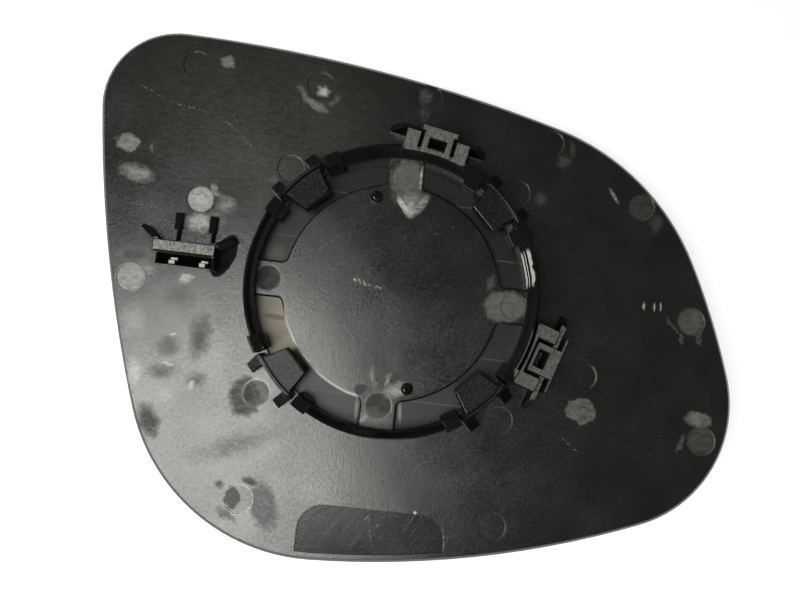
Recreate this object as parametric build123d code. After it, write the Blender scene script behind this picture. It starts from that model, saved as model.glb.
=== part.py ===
from build123d import *
import math
import os

# Glass, heater film and plate are layers of spheres with one centre on the ring's axis
front_radius = 1300.0
glass_thickness = 2.0
heater_thickness = 0.3
plate_thickness = 2.0
bond_gap = 0.05

# Outline from the back: corners as shares of the plate's length and height from the ring's axis,
# bulge of the side that follows each corner, and the radius that rounds the corner
plate_length = 190.0
plate_height = 145.0
corner_shares = [(0.557, -0.305), (0.371, 0.316), (-0.477, 0.459), (-0.284, -0.522)]
side_bulges = [6.0, 8.4, 7.4, 12.9]
corner_radii = [37.0, 67.8, 21.8, 56.0]

# Lip of the plate round the glass
lip_width = 1.5
lip_setback = 0.5
lip_edge = 0.5
plate_edge = 0.9
glass_gap = 0.2
glass_edge = 0.4
heater_inset = 1.5

# Snap ring
ring_outer = 41.2
ring_wall = 1.8
rim_height = 10.0
rim_edge = 0.4
rim_lead = 1.1

# Disc, arms and windows inside the ring
disc_radius = 31.8
arm_width = 10.6
window_corner = 1.6
window_edge = 0.5

# Four hooks cut free from the ring wall, with a fin at each side and thicker wall ends
hook_angles = [45.3, 136.1, 222.9, 315.8]
finger_half_angle = 10.6
finger_wall = 1.0
finger_edge = 0.2
slot_angle = 1.2
block_angle = 6.5
block_inset = 1.2
block_outset = 0.8
hook_reach = 32.6
hook_tip_width = 8.4
hook_root_width = 12.4
hook_drop = 0.4
hook_lead = 0.7
hook_nose = 4.6
hook_edge = 0.4
hook_bevel = 0.25
groove_width = 0.6
groove_depth = 1.0
fin_offset = 6.2
fin_length = 4.2
fin_width = 3.0
fin_top = 8.6
fin_end = 2.2

# Guide clips: direction, drop below the rim, then distances from the ring's axis
upper_clip = dict(direction=79.5, drop=0.0, start=39.6, slot_start=40.2, tongue_start=39.6, hole_start=41.3,
                  reach=45.3, head_start=45.8, head_end=47.6, head_half=5.2)
right_clip = dict(direction=-18.3, drop=0.3, start=41.7, slot_start=42.6, tongue_start=42.95, hole_start=44.2,
                  reach=47.6, head_start=49.8, head_end=50.7, head_half=8.2)
clip_tongue_half = 4.35
clip_slot = 0.75
clip_block_width = 4.1
clip_hole_half = 2.35
clip_hole_length = 2.8
clip_edge = 0.25
clip_fin_thickness = 1.4
clip_fin_shoulder = 11.2
clip_fin_half = 14.4
clip_fin_top = 8.6
clip_fin_end = 2.0

# Terminal bracket
bar_x = -58.9
bar_y = 5.05
bar_length = 17.4
bar_width = 3.3
bar_top = 8.0
bar_edge = 0.3
wing_thickness = 1.2
wing_length = 6.4
wing_angles = [30.0, 140.0]
wing_end = 7.0
cheek_length = 3.6
cheek_thickness = 0.8
cheek_top = 7.4
latch_offset = 1.5
latch_spacing = 9.7
latch_neck = 0.6
latch_barb = 0.9
latch_heel = 0.3
latch_neck_length = 3.9
latch_length = 8.6
latch_top = 3.6

# Slot in front of the bar and the two contact blades in it
slot_offset = -0.7
slot_length = 16.8
slot_width = 3.0
blade_spacing = 8.6
blade_setback = 2.1
blade_width = 1.9
blade_thickness = 0.5
blade_top = 2.6
blade_tab = 0.8
blade_foot = 0.8
blade_edge = 0.2

# Pegs on the disc
peg_radius = 1.7
peg_height = 3.0
peg_round = 1.3
peg_distance = 28.2
peg_directions = [105.5, -74.5]

# Flat marks left by the ejector pins
mark_radius = 3.9
mark_depth = 0.35
arm_mark_distances = [36.0, 34.2, 36.0, 32.8]
ring_mark_points = [(33.3, 33.3), (-33.3, 32.5), (-34.9, -33.1), (34.9, -33.1)]
plate_mark_shares = [
    (-0.335, 0.406), (-0.421, 0.223), (-0.304, 0.139), (-0.391, -0.032), (-0.145, 0.399), (0.023, 0.402),
    (0.219, 0.339), (0.368, 0.231), (0.460, 0.010), (0.489, -0.222), (0.304, -0.122), (-0.189, -0.434),
    (0.189, -0.434),
]

# Smooth pad at the lower edge and three tally ribs
pad_left = -18.8
pad_right = 22.7
pad_rise = 15.5
pad_corner = 7.0
pad_depth = 0.35
pad_margin = 2.2
tally_shares = [(0.387, 0.032), (0.402, 0.032), (0.412, 0.032)]
tally_width = 0.6
tally_length = 2.9
tally_height = 0.3

# Heights and radii that follow from the sizes above
stack = glass_thickness + heater_thickness + plate_thickness + 2 * bond_gap
sphere_height = front_radius - stack
back_radius = sphere_height
seat_radius = back_radius + plate_thickness
heater_back_radius = seat_radius + bond_gap
heater_front_radius = heater_back_radius + heater_thickness
glass_back_radius = heater_front_radius + bond_gap
lip_front_radius = front_radius - lip_setback
ring_inner = ring_outer - ring_wall
finger_inner = ring_outer - finger_wall
ring_root = -0.5
below = -30.0
above = 40.0
match = 0.01


def place(shares):
    """Point on the plate from shares of its length and height."""
    return shares[0] * plate_length, shares[1] * plate_height


def back_height(x, y):
    """Height of the plate's back face at a point."""
    return sphere_height - math.sqrt(back_radius**2 - x**2 - y**2)


def back_plane(x, y):
    """Plane that touches the plate's back face at a point."""
    point = Vector(x, y, back_height(x, y))
    return Plane(point, z_dir=Vector(0, 0, sphere_height) - point)


def ball(radius):
    """Sphere about the common centre, with its poles turned away from the mirror."""
    return Pos(0, 0, sphere_height) * Rot(90, 0, 0) * Sphere(radius)


def edges_at(solid, radius):
    """Edges that lie at one distance from the common centre."""
    centre = Vector(0, 0, sphere_height)
    return solid.edges().filter_by(lambda edge: abs((edge @ 0.5 - centre).length - radius) < match)


def reach_of(edge):
    """Distance of an edge's middle from the ring's axis."""
    return math.hypot((edge @ 0.5).X, (edge @ 0.5).Y)


def prism(sketch, low, high):
    """Upright prism on a sketch."""
    return extrude(Pos(0, 0, low) * sketch, high - low)


def brick(x_low, x_high, y_low, y_high, z_low, z_high):
    """Box between two corners."""
    corner = Pos((x_low + x_high) / 2, (y_low + y_high) / 2, (z_low + z_high) / 2)
    return corner * Box(x_high - x_low, y_high - y_low, z_high - z_low)


def strip(x_low, x_high, half_width):
    """Rectangle between two distances, centred across Y."""
    return Pos((x_low + x_high) / 2, 0) * Rectangle(x_high - x_low, 2 * half_width)


def upright(points, half_width):
    """Solid from a profile in the X and Z directions, centred across Y."""
    return extrude(Plane.XZ * make_face(Polyline(points, close=True)), half_width, both=True)


def edged(solid, edge):
    """Solid with a small flat on the edges of its top faces."""
    return chamfer(solid.faces().group_by(Axis.Z)[-1].edges(), edge)


def wall_arc(inner, outer, top, start, sweep, edge, lead):
    """Piece of the ring's wall between two directions, its top sloped by a lead at the inner side."""
    section = make_face(Plane.XZ * Polyline([
        (inner, ring_root),
        (outer, ring_root),
        (outer, top - edge),
        (outer - edge, top),
        (inner + lead, top),
        (inner, top - lead),
    ], close=True))
    return Rot(0, 0, start) * revolve(section, Axis.Z, sweep)


# Outline of the plate, then of the pocket, the glass and the heater
corner_points = [place(shares) for shares in corner_shares]
sides = []
for index, corner in enumerate(corner_points):
    following = corner_points[(index + 1) % len(corner_points)]
    sides.append(SagittaArc(corner, following, -side_bulges[index]))
plate_outline = make_face(sides)
for corner, radius in zip(corner_points, corner_radii):
    sharp = plate_outline.vertices().sort_by_distance((corner[0], corner[1], 0))[0]
    plate_outline = fillet(sharp, radius)


def inset(distance):
    """Outline of the plate moved inward: every arc keeps its centre."""
    arcs = []
    for edge in plate_outline.edges():
        shrink = 1 - distance / edge.radius
        centre = edge.arc_center
        arcs.append(ThreePointArc([centre + (edge @ share - centre) * shrink for share in (0, 0.5, 1)]))
    return make_face(arcs)


pocket_outline = inset(lip_width)
glass_outline = inset(lip_width + glass_gap)
heater_outline = inset(lip_width + heater_inset)

# Glass and heater film
glass = prism(glass_outline, below, above) & ball(front_radius)
glass -= ball(glass_back_radius)
glass = chamfer(edges_at(glass, front_radius), glass_edge)
heater = prism(heater_outline, below, above) & ball(heater_front_radius)
heater -= ball(heater_back_radius)

# Tray of the plate with its lip and bevelled rim
plate = prism(plate_outline, below, above) & ball(lip_front_radius)
plate -= ball(back_radius)
plate = chamfer(edges_at(plate, back_radius), plate_edge)
plate = chamfer(edges_at(plate, lip_front_radius), lip_edge)
plate -= prism(pocket_outline, below, above) - ball(seat_radius)

# Windows between the disc and the ring, one for each quarter
arms = Rectangle(2 * ring_outer, arm_width) + Rectangle(arm_width, 2 * ring_outer)
windows = Circle(ring_inner) - Circle(disc_radius) - arms
inner_corners = windows.vertices().filter_by(lambda v: math.hypot(v.X, v.Y) < disc_radius + match)
windows = fillet(inner_corners, window_corner)
plate -= prism(windows, below, above)
window_edges = edges_at(plate, back_radius).filter_by(lambda edge: reach_of(edge) < ring_inner - rim_edge)
plate = chamfer(window_edges, window_edge)

# Ejector marks on the plate and the arms
arm_marks = []
for index, distance in enumerate(arm_mark_distances):
    turn = math.radians(90 * index)
    arm_marks.append((distance * math.cos(turn), distance * math.sin(turn)))
for x, y in [place(shares) for shares in plate_mark_shares] + ring_mark_points + arm_marks:
    pin = Cylinder(mark_radius, above, align=(Align.CENTER, Align.CENTER, Align.MIN))
    plate -= back_plane(x, y).offset(-mark_depth) * pin

# Smooth pad at the lower edge
pad_top = plate_outline.bounding_box().min.Y + pad_rise
pad_low = pad_top - above
pad = Pos((pad_left + pad_right) / 2, (pad_low + pad_top) / 2) * RectangleRounded(
    pad_right - pad_left, pad_top - pad_low, pad_corner)
pad &= inset(pad_margin)
plate -= prism(pad, below, above) & ball(back_radius + pad_depth)

# Slot for the terminals in front of the bracket's bar
bar_left = bar_x - bar_length / 2
bar_right = bar_x + bar_length / 2
bar_front = bar_y - bar_width / 2
bar_back = bar_y + bar_width / 2
slot_left = bar_x + slot_offset - slot_length / 2
plate -= brick(slot_left, slot_left + slot_length, bar_front - slot_width, bar_front, below, above)

# Ring wall in four pieces, each with a thicker end beside the hooks
moulded = []
half_gap = finger_half_angle + slot_angle
for index, angle in enumerate(hook_angles):
    following = hook_angles[(index + 1) % len(hook_angles)]
    wall_sweep = (following - angle) % 360 - 2 * half_gap
    moulded.append(wall_arc(ring_inner, ring_outer, rim_height, angle + half_gap, wall_sweep,
                            rim_edge, rim_lead))
    for start in (half_gap, -half_gap - block_angle):
        moulded.append(wall_arc(ring_inner - block_inset, ring_outer + block_outset, rim_height,
                                angle + start, block_angle, rim_edge, rim_edge))

# Hooks on their thin fingers, with a groove behind each hook and the fins outside
hook_top = rim_height - hook_drop
finger_middle = (finger_inner + ring_outer) / 2
hook_profile = [
    (finger_middle, hook_top),
    (hook_reach + hook_edge, hook_top - hook_lead),
    (hook_reach, hook_top - hook_lead - hook_edge),
    (hook_reach, hook_top - hook_nose),
    (finger_middle, hook_top - hook_nose),
]
hook_plan = make_face(Polyline([
    (hook_reach, -hook_tip_width / 2),
    (finger_inner, -hook_root_width / 2),
    (ring_outer, -hook_root_width / 2),
    (ring_outer, hook_root_width / 2),
    (finger_inner, hook_root_width / 2),
    (hook_reach, hook_tip_width / 2),
], close=True))
hook = upright(hook_profile, hook_root_width) & prism(hook_plan, below, above)
hook = edged(hook, hook_bevel)
hook -= prism(Circle(ring_outer) - Circle(finger_inner - groove_width), hook_top - groove_depth, above)
fin_profile = [
    (finger_inner, 0),
    (ring_outer + fin_length, 0),
    (ring_outer + fin_length, fin_end),
    (ring_outer, fin_top),
    (finger_inner, fin_top),
]
fin = upright(fin_profile, fin_width / 2)
for angle in hook_angles:
    moulded.append(wall_arc(finger_inner, ring_outer, hook_top, angle - finger_half_angle,
                            2 * finger_half_angle, finger_edge, finger_edge))
    moulded.append(Rot(0, 0, angle) * hook)
    for side in (-1, 1):
        moulded.append(Rot(0, 0, angle) * Pos(0, side * fin_offset, 0) * fin)


def guide_clip(direction, drop, start, slot_start, tongue_start, hole_start, reach,
               head_start, head_end, head_half):
    """Guide clip: blocks beside a tongue with a hole, a head across the tongue's end and a fin."""
    slot_edge = clip_tongue_half + clip_slot
    plan = strip(0, reach, slot_edge + clip_block_width) - Circle(start)
    plan -= strip(slot_start, reach, slot_edge)
    plan += strip(tongue_start, head_start, clip_tongue_half)
    plan += strip(head_start, head_end, head_half)
    plan -= strip(hole_start, hole_start + clip_hole_length, clip_hole_half)
    body = edged(prism(plan, 0, rim_height - drop), clip_edge)
    fin_face = make_face(Polyline([
        (-clip_fin_half, 0),
        (clip_fin_half, 0),
        (clip_fin_half, clip_fin_end),
        (clip_fin_shoulder, clip_fin_top),
        (-clip_fin_shoulder, clip_fin_top),
        (-clip_fin_half, clip_fin_end),
    ], close=True))
    fin = extrude(Plane.YZ.offset(reach - clip_edge) * fin_face, clip_fin_thickness)
    return [Rot(0, 0, direction) * body, Rot(0, 0, direction) * fin]


for clip in (upper_clip, right_clip):
    moulded += guide_clip(**clip)

# Terminal bracket: bar, slanted wings, cheek and two latches behind the bar
bar_floor = back_height(bar_x, bar_y) - plate_thickness / 2
moulded.append(edged(brick(bar_left, bar_right, bar_front, bar_back, bar_floor, bar_top), bar_edge))
wing_profile = [
    (0, bar_floor),
    (wing_length, bar_floor),
    (wing_length, wing_end),
    (0, bar_top - bar_edge),
]
wing = upright(wing_profile, wing_thickness / 2)
wing_y = bar_back - wing_thickness / 2
for wing_x, wing_angle in zip((bar_right - wing_thickness, bar_left + wing_thickness), wing_angles):
    moulded.append(Pos(wing_x, wing_y, 0) * Rot(0, 0, wing_angle) * wing)
cheek_front = bar_front - cheek_length
moulded.append(brick(bar_right - cheek_thickness, bar_right, cheek_front, bar_y, bar_floor, cheek_top))
for side in (-1, 1):
    latch_x = bar_x + latch_offset + side * latch_spacing / 2
    latch_low = latch_x - latch_neck / 2
    latch_high = latch_x + latch_neck / 2
    latch_end = bar_back + latch_length
    moulded.append(brick(latch_low, latch_high, bar_y, latch_end, bar_floor, latch_top))
    moulded.append(brick(latch_low - latch_barb, latch_high + latch_heel, bar_back + latch_neck_length,
                         latch_end, bar_floor, latch_top))

# Pegs and tally ribs
peg_length = peg_height + plate_thickness / 2
for direction in peg_directions:
    peg = Cylinder(peg_radius, peg_length, align=(Align.CENTER, Align.CENTER, Align.MIN))
    peg = fillet(peg.edges().sort_by(Axis.Z)[-1], peg_round)
    moulded.append(Rot(0, 0, direction) * Pos(peg_distance, 0, -plate_thickness / 2) * peg)
for x, y in [place(shares) for shares in tally_shares]:
    moulded.append(back_plane(x, y) * Box(tally_width, tally_length, 2 * tally_height))

plate += moulded

# Contact blades: upright strip, tab bent forward and a foot on the heater film
blades = []
blade_front = bar_front - blade_setback
for side in (-1, 1):
    x_low = bar_x + side * blade_spacing / 2 - blade_width / 2
    x_high = x_low + blade_width
    blade_back = blade_front + blade_thickness
    tip = brick(x_low, x_high, blade_front - blade_tab, blade_back, blade_top - blade_thickness, blade_top)
    blade = edged(tip, blade_edge)
    blade += brick(x_low, x_high, blade_front, blade_back, below, blade_top - blade_edge)
    foot_top = back_height(x_low, blade_front) - plate_thickness + blade_thickness
    blade += brick(x_low, x_high, blade_front, blade_back + blade_foot, below, foot_top)
    blades.append(blade & ball(seat_radius))
terminals = Compound(children=blades)

# Write one file for each node
os.makedirs("parts", exist_ok=True)
export_step(plate, "parts/backing_plate.step")
export_step(heater, "parts/heater_foil.step")
export_step(glass, "parts/mirror_glass.step")
export_step(terminals, "parts/heater_terminals.step")
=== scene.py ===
import math
from types import SimpleNamespace

import bmesh
import bpy
from mathutils import Matrix, Vector


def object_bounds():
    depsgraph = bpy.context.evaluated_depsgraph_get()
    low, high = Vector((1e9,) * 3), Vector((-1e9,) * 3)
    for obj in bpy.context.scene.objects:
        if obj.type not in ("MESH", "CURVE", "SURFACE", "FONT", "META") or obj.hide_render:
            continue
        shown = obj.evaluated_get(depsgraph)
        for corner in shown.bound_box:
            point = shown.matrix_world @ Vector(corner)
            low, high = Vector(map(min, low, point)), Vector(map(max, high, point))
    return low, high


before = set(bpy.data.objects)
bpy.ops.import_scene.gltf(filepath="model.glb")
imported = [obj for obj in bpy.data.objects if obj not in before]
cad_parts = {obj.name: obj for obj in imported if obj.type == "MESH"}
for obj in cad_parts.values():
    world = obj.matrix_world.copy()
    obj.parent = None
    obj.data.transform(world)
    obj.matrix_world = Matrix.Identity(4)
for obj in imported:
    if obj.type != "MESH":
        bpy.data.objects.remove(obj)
cad_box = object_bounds()

# Camera: the photograph looks down at the back of the plate, close and a little turned
CAMERA_PLACE = Vector((-0.00381, -0.01665, 0.206))
CAMERA_AIM = Vector((0.00271, -0.00188, 0.0))
CAMERA_ROLL = math.radians(6.6)
LENS = 32.0
SENSOR = 36.0
CAMERA_NEAR = 0.01

# Lamp: one long soft box above the lower left of the plate
LAMP_PLACE = (-0.442, -0.247, 0.8)
LAMP_TURN = math.radians(24.2)
LAMP_LENGTH = 0.89
LAMP_WIDTH = 0.321
LAMP_POWER = 5.9
LAMP_COLOUR = (0.985, 1.0, 0.955)

# Sky: pale round the horizon on the lamp's side, dim behind it and overhead
SKY_COLOUR = (1.0, 1.0, 1.0)
SKY_TOP = 0.05
SKY_EDGE = 0.5
SKY_FAR_EDGE = 0.10
SKY_RISE = (0.3, 0.6)
SKY_BRIGHT_SIDE = (-0.92, -0.39, 0.0)
SKY_SIDES = (-0.5, 0.6)

# White paper floor
FLOOR_SIZE = 6.0
FLOOR_COLOUR = (0.8, 0.8, 0.8)
FLOOR_GLOW = 0.62

# Finishes read places in millimetres from the ring's axis, on a plate that is part of a large sphere
MILLIMETRES = 1000.0
PLATE_CURVE = 1295.6
MOULDING_BLACK = (0.0145, 0.0155, 0.0122)
# Darker black for what stands up: painted shade on the same plastic
RAISED_SHADE_BLACK = (0.0035, 0.0037, 0.0031)
CHALK = (0.62, 0.63, 0.58)
# White of bare worn plastic, also used for the painted highlights
WEAR_AND_HIGHLIGHT_WHITE = (0.93, 0.94, 0.88)
MOULDING_GLOSS = 0.19
RAISED_GLOSS = 0.14
MATTE_ROUGHNESS = 0.72

# Ejector pin marks: place, whiteness and dullness inside, painted highlight on the rim, its side and
# one-sidedness
PIN_RADIUS = 3.9
PIN_MARKS = [
    ((-63.7, 58.9), 0.01, 0.04, 0.03, 0, 0.8),
    ((-80.0, 32.3), 0.00, 0.00, 0.08, 150, 0.6),
    ((-57.8, 20.2), 0.72, 0.50, 0.00, 0, 0.0),
    ((-74.3, -4.6), 0.62, 0.60, 0.50, 0, 0.0),
    ((-27.6, 57.9), 0.01, 0.05, 0.06, 0, 0.5),
    ((4.4, 58.3), 0.00, 0.00, 0.02, 0, 0.8),
    ((41.6, 49.2), 0.00, 0.00, 0.08, 20, 0.9),
    ((69.9, 33.5), 0.05, 0.20, 0.14, -20, 0.7),
    ((87.4, 1.5), 0.14, 0.30, 0.17, 0, 0.3),
    ((92.9, -32.2), 0.075, 0.30, 0.18, -40, 0.3),
    ((57.8, -17.7), 0.00, 0.00, 0.30, 5, 1.8),
    ((-35.9, -62.9), 0.20, 0.20, 0.80, 0, 0.0),
    ((35.9, -62.9), 0.00, 0.02, 0.07, 0, 0.3),
    ((33.3, 33.3), 0.00, 0.00, 0.06, 0, 0.7),
    ((-33.3, 32.5), 0.02, 0.05, 0.20, 10, 0.5),
    ((-34.9, -33.1), 0.00, 0.40, 1.00, 150, 0.35),
    ((34.9, -33.1), 0.00, 0.02, 0.07, 0, 0.0),
    ((36.0, 0.0), 0.09, 0.50, 0.08, 0, 0.0),
    ((0.0, 34.2), 0.14, 0.50, 0.16, 0, 0.0),
    ((-36.0, 0.0), 0.00, 0.80, 0.25, 0, 0.0),
    ((0.0, -32.8), 0.00, 0.85, 0.35, 0, 0.0),
]

# Rubbed and smeared places: place, half length, half width, turn, softness, whiteness, dullness
RUBS = [
    # Upper left of the plate
    ((-55.0, 60.9), 2.5, 2.6, 0, 0.45, 0.34, 0.3),
    ((-80.3, 33.8), 3.6, 2.6, 5, 0.25, 0.40, 0.3),
    ((-73.2, 33.2), 1.2, 1.9, 20, 0.6, 0.15, 0.2),
    ((-76.5, 25.4), 5.8, 3.4, -8, 0.6, 0.36, 0.3),
    ((-54.0, 23.2), 1.5, 2.8, 30, 0.5, 0.35, 0.3),
    ((-50.4, 19.8), 4.0, 3.4, 0, 0.8, 0.32, 0.3),
    ((-57.2, 13.6), 4.8, 3.6, 0, 0.7, 0.70, 0.3),
    ((-52.4, 14.4), 3.2, 4.0, 0, 0.8, 0.28, 0.2),
    # Painted highlight: bright centre of the pin mark at (-57.8, 20.2)
    ((-57.6, 20.3), 3.4, 3.4, 0, 0.8, 1.00, 0.3),
    ((-74.0, 2.0), 5.2, 2.5, 8, 0.6, 0.00, 0.6),
    ((-70.0, -1.6), 3.4, 2.4, 0, 0.8, 0.26, 0.2),
    ((-26.8, 56.6), 2.2, 2.0, 0, 0.7, 0.85, 0.3),
    ((-32.4, 55.2), 3.4, 1.2, -55, 0.6, 0.20, 0.3),
    ((-28.3, 52.2), 4.8, 1.7, -22, 0.6, 0.34, 0.3),
    ((-23.0, 54.2), 3.2, 1.4, 55, 0.7, 0.13, 0.3),
    ((-27.2, 61.6), 2.2, 0.6, 0, 0.6, 0.07, 0.2),
    ((-38.3, 28.4), 1.8, 2.1, 0, 0.6, 0.08, 0.2),
    # Upper right of the plate
    ((3.2, 59.0), 2.3, 2.8, 0, 0.6, 0.08, 0.2),
    ((3.5, 54.0), 1.6, 3.0, 0, 0.6, 0.045, 0.2),
    ((46.2, 44.3), 2.8, 2.3, 20, 0.6, 0.065, 0.2),
    ((48.0, 48.0), 1.4, 3.2, 20, 0.6, 0.05, 0.2),
    ((40.5, 32.5), 2.0, 2.4, 0, 0.6, 0.05, 0.2),
    ((74.7, 29.0), 2.3, 3.2, 15, 0.5, 0.06, 0.2),
    # Right side and lower right
    ((90.0, -3.0), 1.3, 2.0, 5, 0.4, 0.09, 0.2),
    ((82.4, -0.4), 4.4, 0.6, -53, 0.5, 0.09, 0.2),
    ((85.0, -4.0), 0.9, 1.9, 15, 0.5, 0.11, 0.2),
    ((91.6, -26.2), 4.2, 2.8, -10, 0.3, 0.26, 0.2),
    ((87.0, -33.8), 1.0, 3.2, -15, 0.5, 0.11, 0.2),
    ((58.2, -27.6), 4.7, 3.7, 0, 0.12, 0.20, 0.2),
    # Arms and disc
    ((0.8, 33.2), 5.6, 6.4, 0, 0.25, 0.16, 0.4),
    ((2.0, 28.4), 6.4, 3.6, 0, 0.7, 0.20, 0.3),
    ((33.4, -0.2), 6.8, 5.0, 0, 0.2, 0.16, 0.4),
    ((28.4, 6.2), 1.8, 3.0, -20, 0.6, 0.07, 0.2),
    ((4.6, -27.8), 4.6, 2.4, 20, 0.7, 0.50, 0.2),
    ((-1.0, -36.4), 5.0, 3.2, 0, 0.7, 0.16, 0.2),
    ((-2.6, -25.0), 1.2, 4.6, 12, 0.9, 0.20, 0.2),
    ((1.6, -25.6), 1.0, 4.0, -6, 0.9, 0.26, 0.2),
    ((-5.6, -28.6), 2.6, 2.2, 30, 0.5, 0.00, 0.8),
    # Lower left, where the lamp's glare lies
    ((-37.9, -34.6), 5.2, 6.4, 10, 0.3, 0.00, 0.62),
    ((-36.8, -33.4), 2.4, 3.6, 0, 0.6, 0.00, 0.85),
    ((-37.7, -62.7), 2.1, 3.9, 0, 0.2, 0.00, 1.0),
    ((-41.8, -59.4), 1.9, 1.7, 0, 0.6, 0.00, 0.5),
    ((-33.4, -57.5), 2.8, 1.1, -12, 0.6, 0.00, 0.6),
    ((-29.0, -64.0), 4.6, 7.6, 25, 0.4, 0.00, 0.4),
    ((-39.0, -67.4), 4.2, 1.4, -30, 0.7, 0.00, 0.4),
    ((-38.9, -48.2), 16.0, 4.6, 22, 0.95, 0.00, 0.35),
    ((-61.5, -17.0), 11.0, 15.0, 0, 0.9, 0.20, 0.2),
    ((-57.0, -36.0), 10.0, 12.0, 15, 0.9, 0.22, 0.2),
    # Grimy and chalky places in the glare
    ((-60.3, -8.4), 6.4, 5.0, 0, 0.9, 0.00, 0.45),
    ((-53.0, -19.0), 4.2, 8.0, 0, 0.8, 0.00, 0.60),
    ((-61.0, -22.4), 5.0, 4.4, 0, 0.8, 0.00, 0.55),
    ((-61.6, -30.0), 6.4, 3.4, 10, 0.9, 0.00, 0.55),
    ((-52.6, -31.2), 4.4, 2.8, 0, 0.9, 0.00, 0.50),
    ((-63.6, -43.6), 3.8, 6.0, 28, 0.7, 0.00, 0.75),
    ((-59.1, -2.9), 2.2, 1.9, 20, 0.7, 0.90, 0.2),
    ((-71.2, -16.5), 4.5, 6.0, 0, 0.9, 0.45, 0.2),
    ((-69.4, -30.6), 2.2, 5.2, 10, 0.7, 0.80, 0.2),
    ((-53.2, -32.6), 1.1, 2.0, 0, 0.5, 0.80, 0.2),
    ((-59.5, -36.0), 5.0, 3.2, 0, 0.9, 0.40, 0.2),
    ((-60.4, -19.1), 1.8, 0.7, 20, 0.6, 0.80, 0.2),
    ((-60.6, -27.7), 2.0, 0.7, -20, 0.6, 0.80, 0.2),
    # Dusty haze over the upper left
    ((-46.0, 42.0), 54.0, 40.0, 0, 0.8, 0.060, 0.0),
]

# Dotted scratches and small nicks: place, half length, half width, turn, whiteness
SCRATCHES = [
    ((-75.4, 49.4), 5.0, 0.34, -23, 0.45),
    ((-63.4, 46.3), 7.5, 0.34, -8, 0.45),
    ((-52.2, 42.8), 4.6, 0.34, -33, 0.45),
    ((-46.1, 38.0), 3.5, 0.40, -45, 0.50),
    ((-73.6, 16.4), 5.2, 0.30, -2, 0.35),
    ((54.6, -36.9), 2.6, 0.22, -38, 0.45),
    ((58.3, -39.2), 2.2, 0.22, -12, 0.45),
    ((15.7, 21.2), 0.6, 0.30, -40, 0.35),
    ((10.7, 18.6), 0.7, 0.25, 0, 0.30),
    ((1.6, -67.2), 5.8, 0.22, 102, 0.40),
    ((0.6, -64.2), 1.4, 0.40, 30, 0.50),
    ((3.4, -66.2), 1.5, 0.35, 75, 0.45),
    ((22.4, -67.0), 4.4, 0.25, 100, 0.50),
]

# Bare bright lines and nicks, and painted highlights on the three tally ribs: place, half length, half
# width, turn, brightness
BRIGHT_LINES = [
    ((4.9, 34.6), 4.2, 0.50, 91, 0.70),
    ((0.9, 25.2), 4.4, 1.1, -51, 0.75),
    ((5.5, 26.4), 4.6, 1.6, 57, 0.32),
    ((2.8, 24.8), 2.0, 3.0, 0, 0.55),
    ((2.8, 27.0), 3.4, 2.6, 0, 0.16),
    ((-3.8, -37.0), 1.7, 0.8, 45, 0.70),
    ((13.8, -61.5), 0.6, 0.6, 0, 0.80),
    ((61.7, 35.8), 3.0, 0.65, -52, 0.34),
    # Painted highlights on the three low tally ribs
    ((73.5, 4.4), 1.5, 0.36, 97, 0.50),
    ((76.4, 4.6), 1.5, 0.36, 97, 0.50),
    ((78.2, 4.8), 1.5, 0.36, 97, 0.50),
    ((-11.0, 2.6), 0.8, 0.30, -40, 0.55),
    ((-9.6, 2.2), 1.2, 0.30, -55, 0.60),
    ((-8.0, 1.7), 1.0, 0.28, -60, 0.50),
    ((-6.6, 1.3), 0.9, 0.30, -10, 0.45),
    ((-4.6, 1.1), 0.7, 0.28, 55, 0.45),
    ((-3.4, 1.0), 0.8, 0.28, -20, 0.40),
]

# Moulded tops: place, half length, half width, turn, whiteness, dullness, grain
MOULDED_TOPS = [
    ((7.9, 42.9), 7.0, 12.0, 79.5, 0.22, 0.75, 1.0),
    ((43.8, -14.5), 7.4, 12.4, -18.3, 0.16, 0.75, 1.0),
    ((-58.9, 5.1), 10.2, 3.6, 0, 0.42, 0.75, 1.0),
    ((25.3, 25.6), 6.2, 9.0, 45.3, 0.022, 0.00, 0.40),
    ((-25.9, 25.0), 6.2, 9.0, 136.1, 0.042, 0.05, 0.45),
    ((-26.4, -24.5), 6.2, 9.0, 222.9, 0.07, 0.75, 1.0),
    ((25.8, -25.1), 6.2, 9.0, 315.8, 0.042, 0.05, 0.45),
]

# Single patches: place, half length, half width, turn, softness
# Patch of the painted highlight streaks on the ring's inner wall
WALL_HIGHLIGHT_PATCH = ((37.8, 10.8), 5.6, 1.8, 106, 0.25)
CORNER_PATCH = ((-49.0, 4.7), 6.8, 3.1, 70, 0.2)
# Patch of the painted shade in the terminal slot
SLOT_SHADE_PATCH = ((-59.6, 1.9), 14.0, 7.0, 0, 0.2)
TAN_PATCH = ((-33.0, -14.0), 15.0, 13.0, -55, 0.2)
PALE_PATCH = ((-35.0, 8.0), 4.0, 3.0, 0, 0.8)
OVAL_PATCH = ((-32.6, -10.9), 4.0, 0.95, -4, 0.4)

# Noises: scale, detail, roughness
DRIFT_NOISE = (0.28, 5.0, 0.68)
MOTTLING_NOISE = (0.8, 5.0, 0.75)
DOT_NOISE = (2.2, 2.0, 0.5)
CLOUD_NOISE = (0.06, 4.0, 0.6)
DUST_NOISE = (2.0, 3.0, 0.7)
GLOSS_CLOUD_NOISE = (0.05, 4.0, 0.6)
GLOSS_GRAIN_NOISE = (1.2, 3.0, 0.6)
FILM_NOISE = (0.12, 4.0, 0.5)
HAZE_NOISE = (0.03, 4.0, 0.5)
SPOT_NOISE = (1.4, 3.0, 0.5)
NOISE_MEAN = 0.5
NOISE_MIDDLE = (0.3, 0.7)

# Pin marks: inset and sharpness of the floor, half width and sharpness of the painted highlight round it
PIN_FLOOR_INSET = 0.1
PIN_FLOOR_SHARPNESS = 2.5
PIN_HIGHLIGHT_HALF_WIDTH = 0.34
PIN_HIGHLIGHT_SHARPNESS = 4.2

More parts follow.
